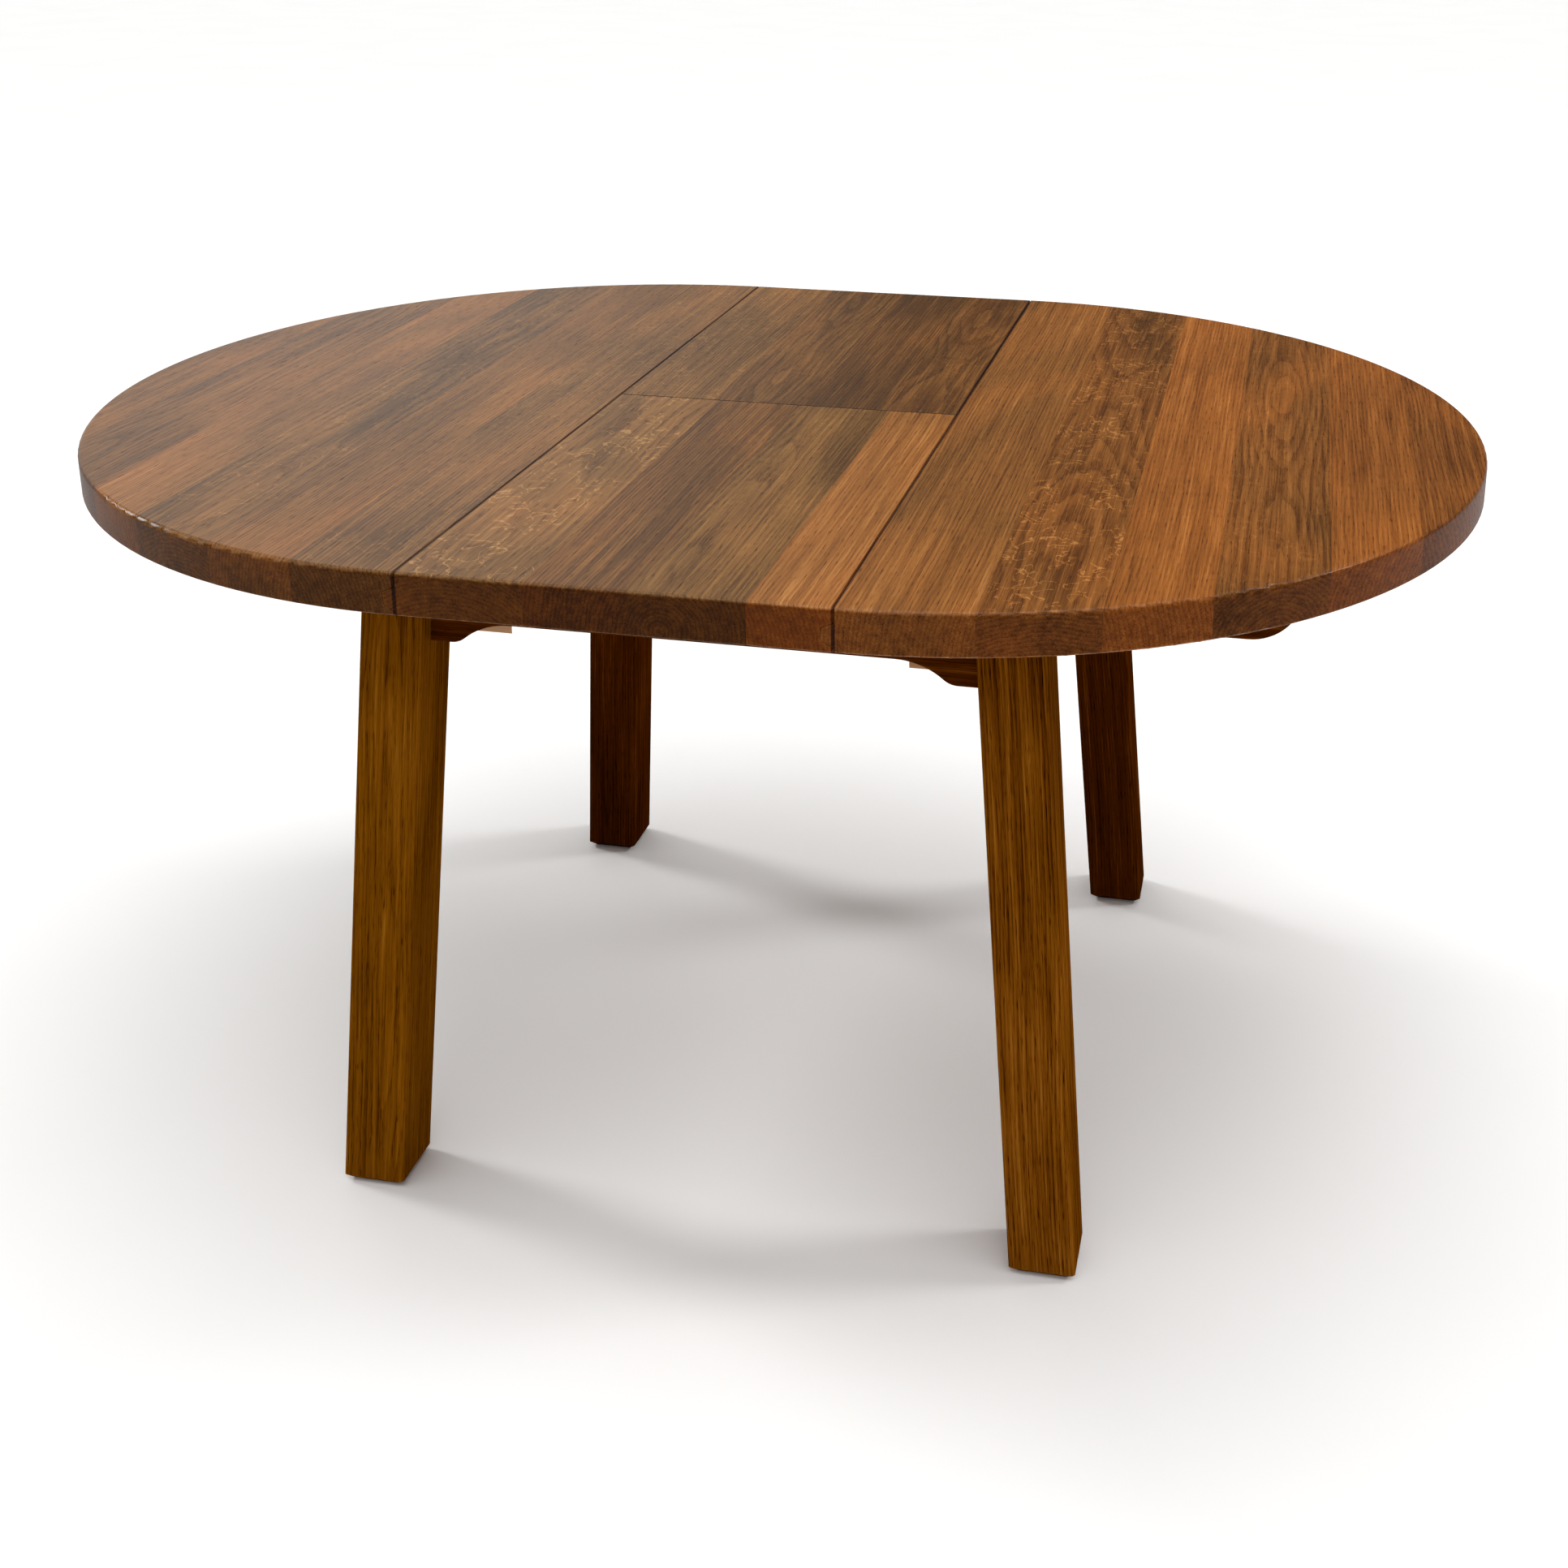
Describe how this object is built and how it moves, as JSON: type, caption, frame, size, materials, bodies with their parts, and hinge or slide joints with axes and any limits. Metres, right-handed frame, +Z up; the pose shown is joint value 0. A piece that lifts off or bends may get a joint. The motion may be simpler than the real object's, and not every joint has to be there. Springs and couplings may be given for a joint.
{
  "type": "extending dining table",
  "caption": "Round wooden dining table pulled open on a folding leaf, with splayed square legs and ogee-ended rails.",
  "frame": {"origin": "on the floor, at the middle of the table", "axes": "+X along the table, across the seams; -Y the front long side; +Z up"},
  "size_m": [1.4786, 1.1, 0.76],
  "materials": {
    "top_oak": "brown stained oak, satin lacquer",
    "frame_oak": "brown stained oak, satin lacquer",
    "inner_beech": "plain beech, unstained",
    "dowel_beech": "plain beech dowel",
    "brass": "turned brass",
    "steel": "zinc plated steel"
  },
  "bodies": {
    "frame": {"bearer_dowels": "dowel_beech", "centre_bearer": "inner_beech", "corner_block_front_left": "inner_beech", "corner_block_front_right": "inner_beech", "corner_block_rear_left": "inner_beech", "corner_block_rear_right": "inner_beech", "leg_bolts": "steel", "leg_front_left": "frame_oak", "leg_front_right": "frame_oak", "leg_nuts": "steel", "leg_rear_left": "frame_oak", "leg_rear_right": "frame_oak", "rail_front": "frame_oak", "rail_left": "frame_oak", "rail_rear": "frame_oak", "rail_right": "frame_oak", "shelf_batten_left": "inner_beech", "shelf_batten_right": "inner_beech"},
    "left_half": {"top_left_half": "top_oak", "runner_left_front": "frame_oak", "runner_left_rear": "frame_oak", "runner_screws_left": "steel", "stop_pegs_left": "dowel_beech"},
    "right_half": {"top_right_half": "top_oak", "runner_right_front": "frame_oak", "runner_right_rear": "frame_oak", "runner_screws_right": "steel", "stop_pegs_right": "dowel_beech"},
    "leaf_front": {"leaf_front_panel": "top_oak", "hinge_barrels_front": "brass", "hinge_links": "steel", "hinge_pins": "steel"},
    "leaf_rear": {"leaf_rear_panel": "top_oak", "hinge_barrels_rear": "brass"}
  },
  "joints": [
    {"name": "left_half_slide", "type": "slide", "parent": "frame", "child": "left_half", "axis": [-1, 0, 0], "range_m": [0, 0.04]},
    {"name": "right_half_slide", "type": "slide", "parent": "frame", "child": "right_half", "axis": [1, 0, 0], "range_m": [0, 0.04]},
    {"name": "leaf_lift", "type": "slide", "parent": "frame", "child": "leaf_front", "axis": [0, 0, 1], "range_m": [0, 0.3]},
    {"name": "leaf_fold", "type": "hinge", "parent": "leaf_front", "child": "leaf_rear", "pos_m": [0, 0, 0.7604], "axis": [1, 0, 0], "range_deg": [0, 180]}
  ]
}
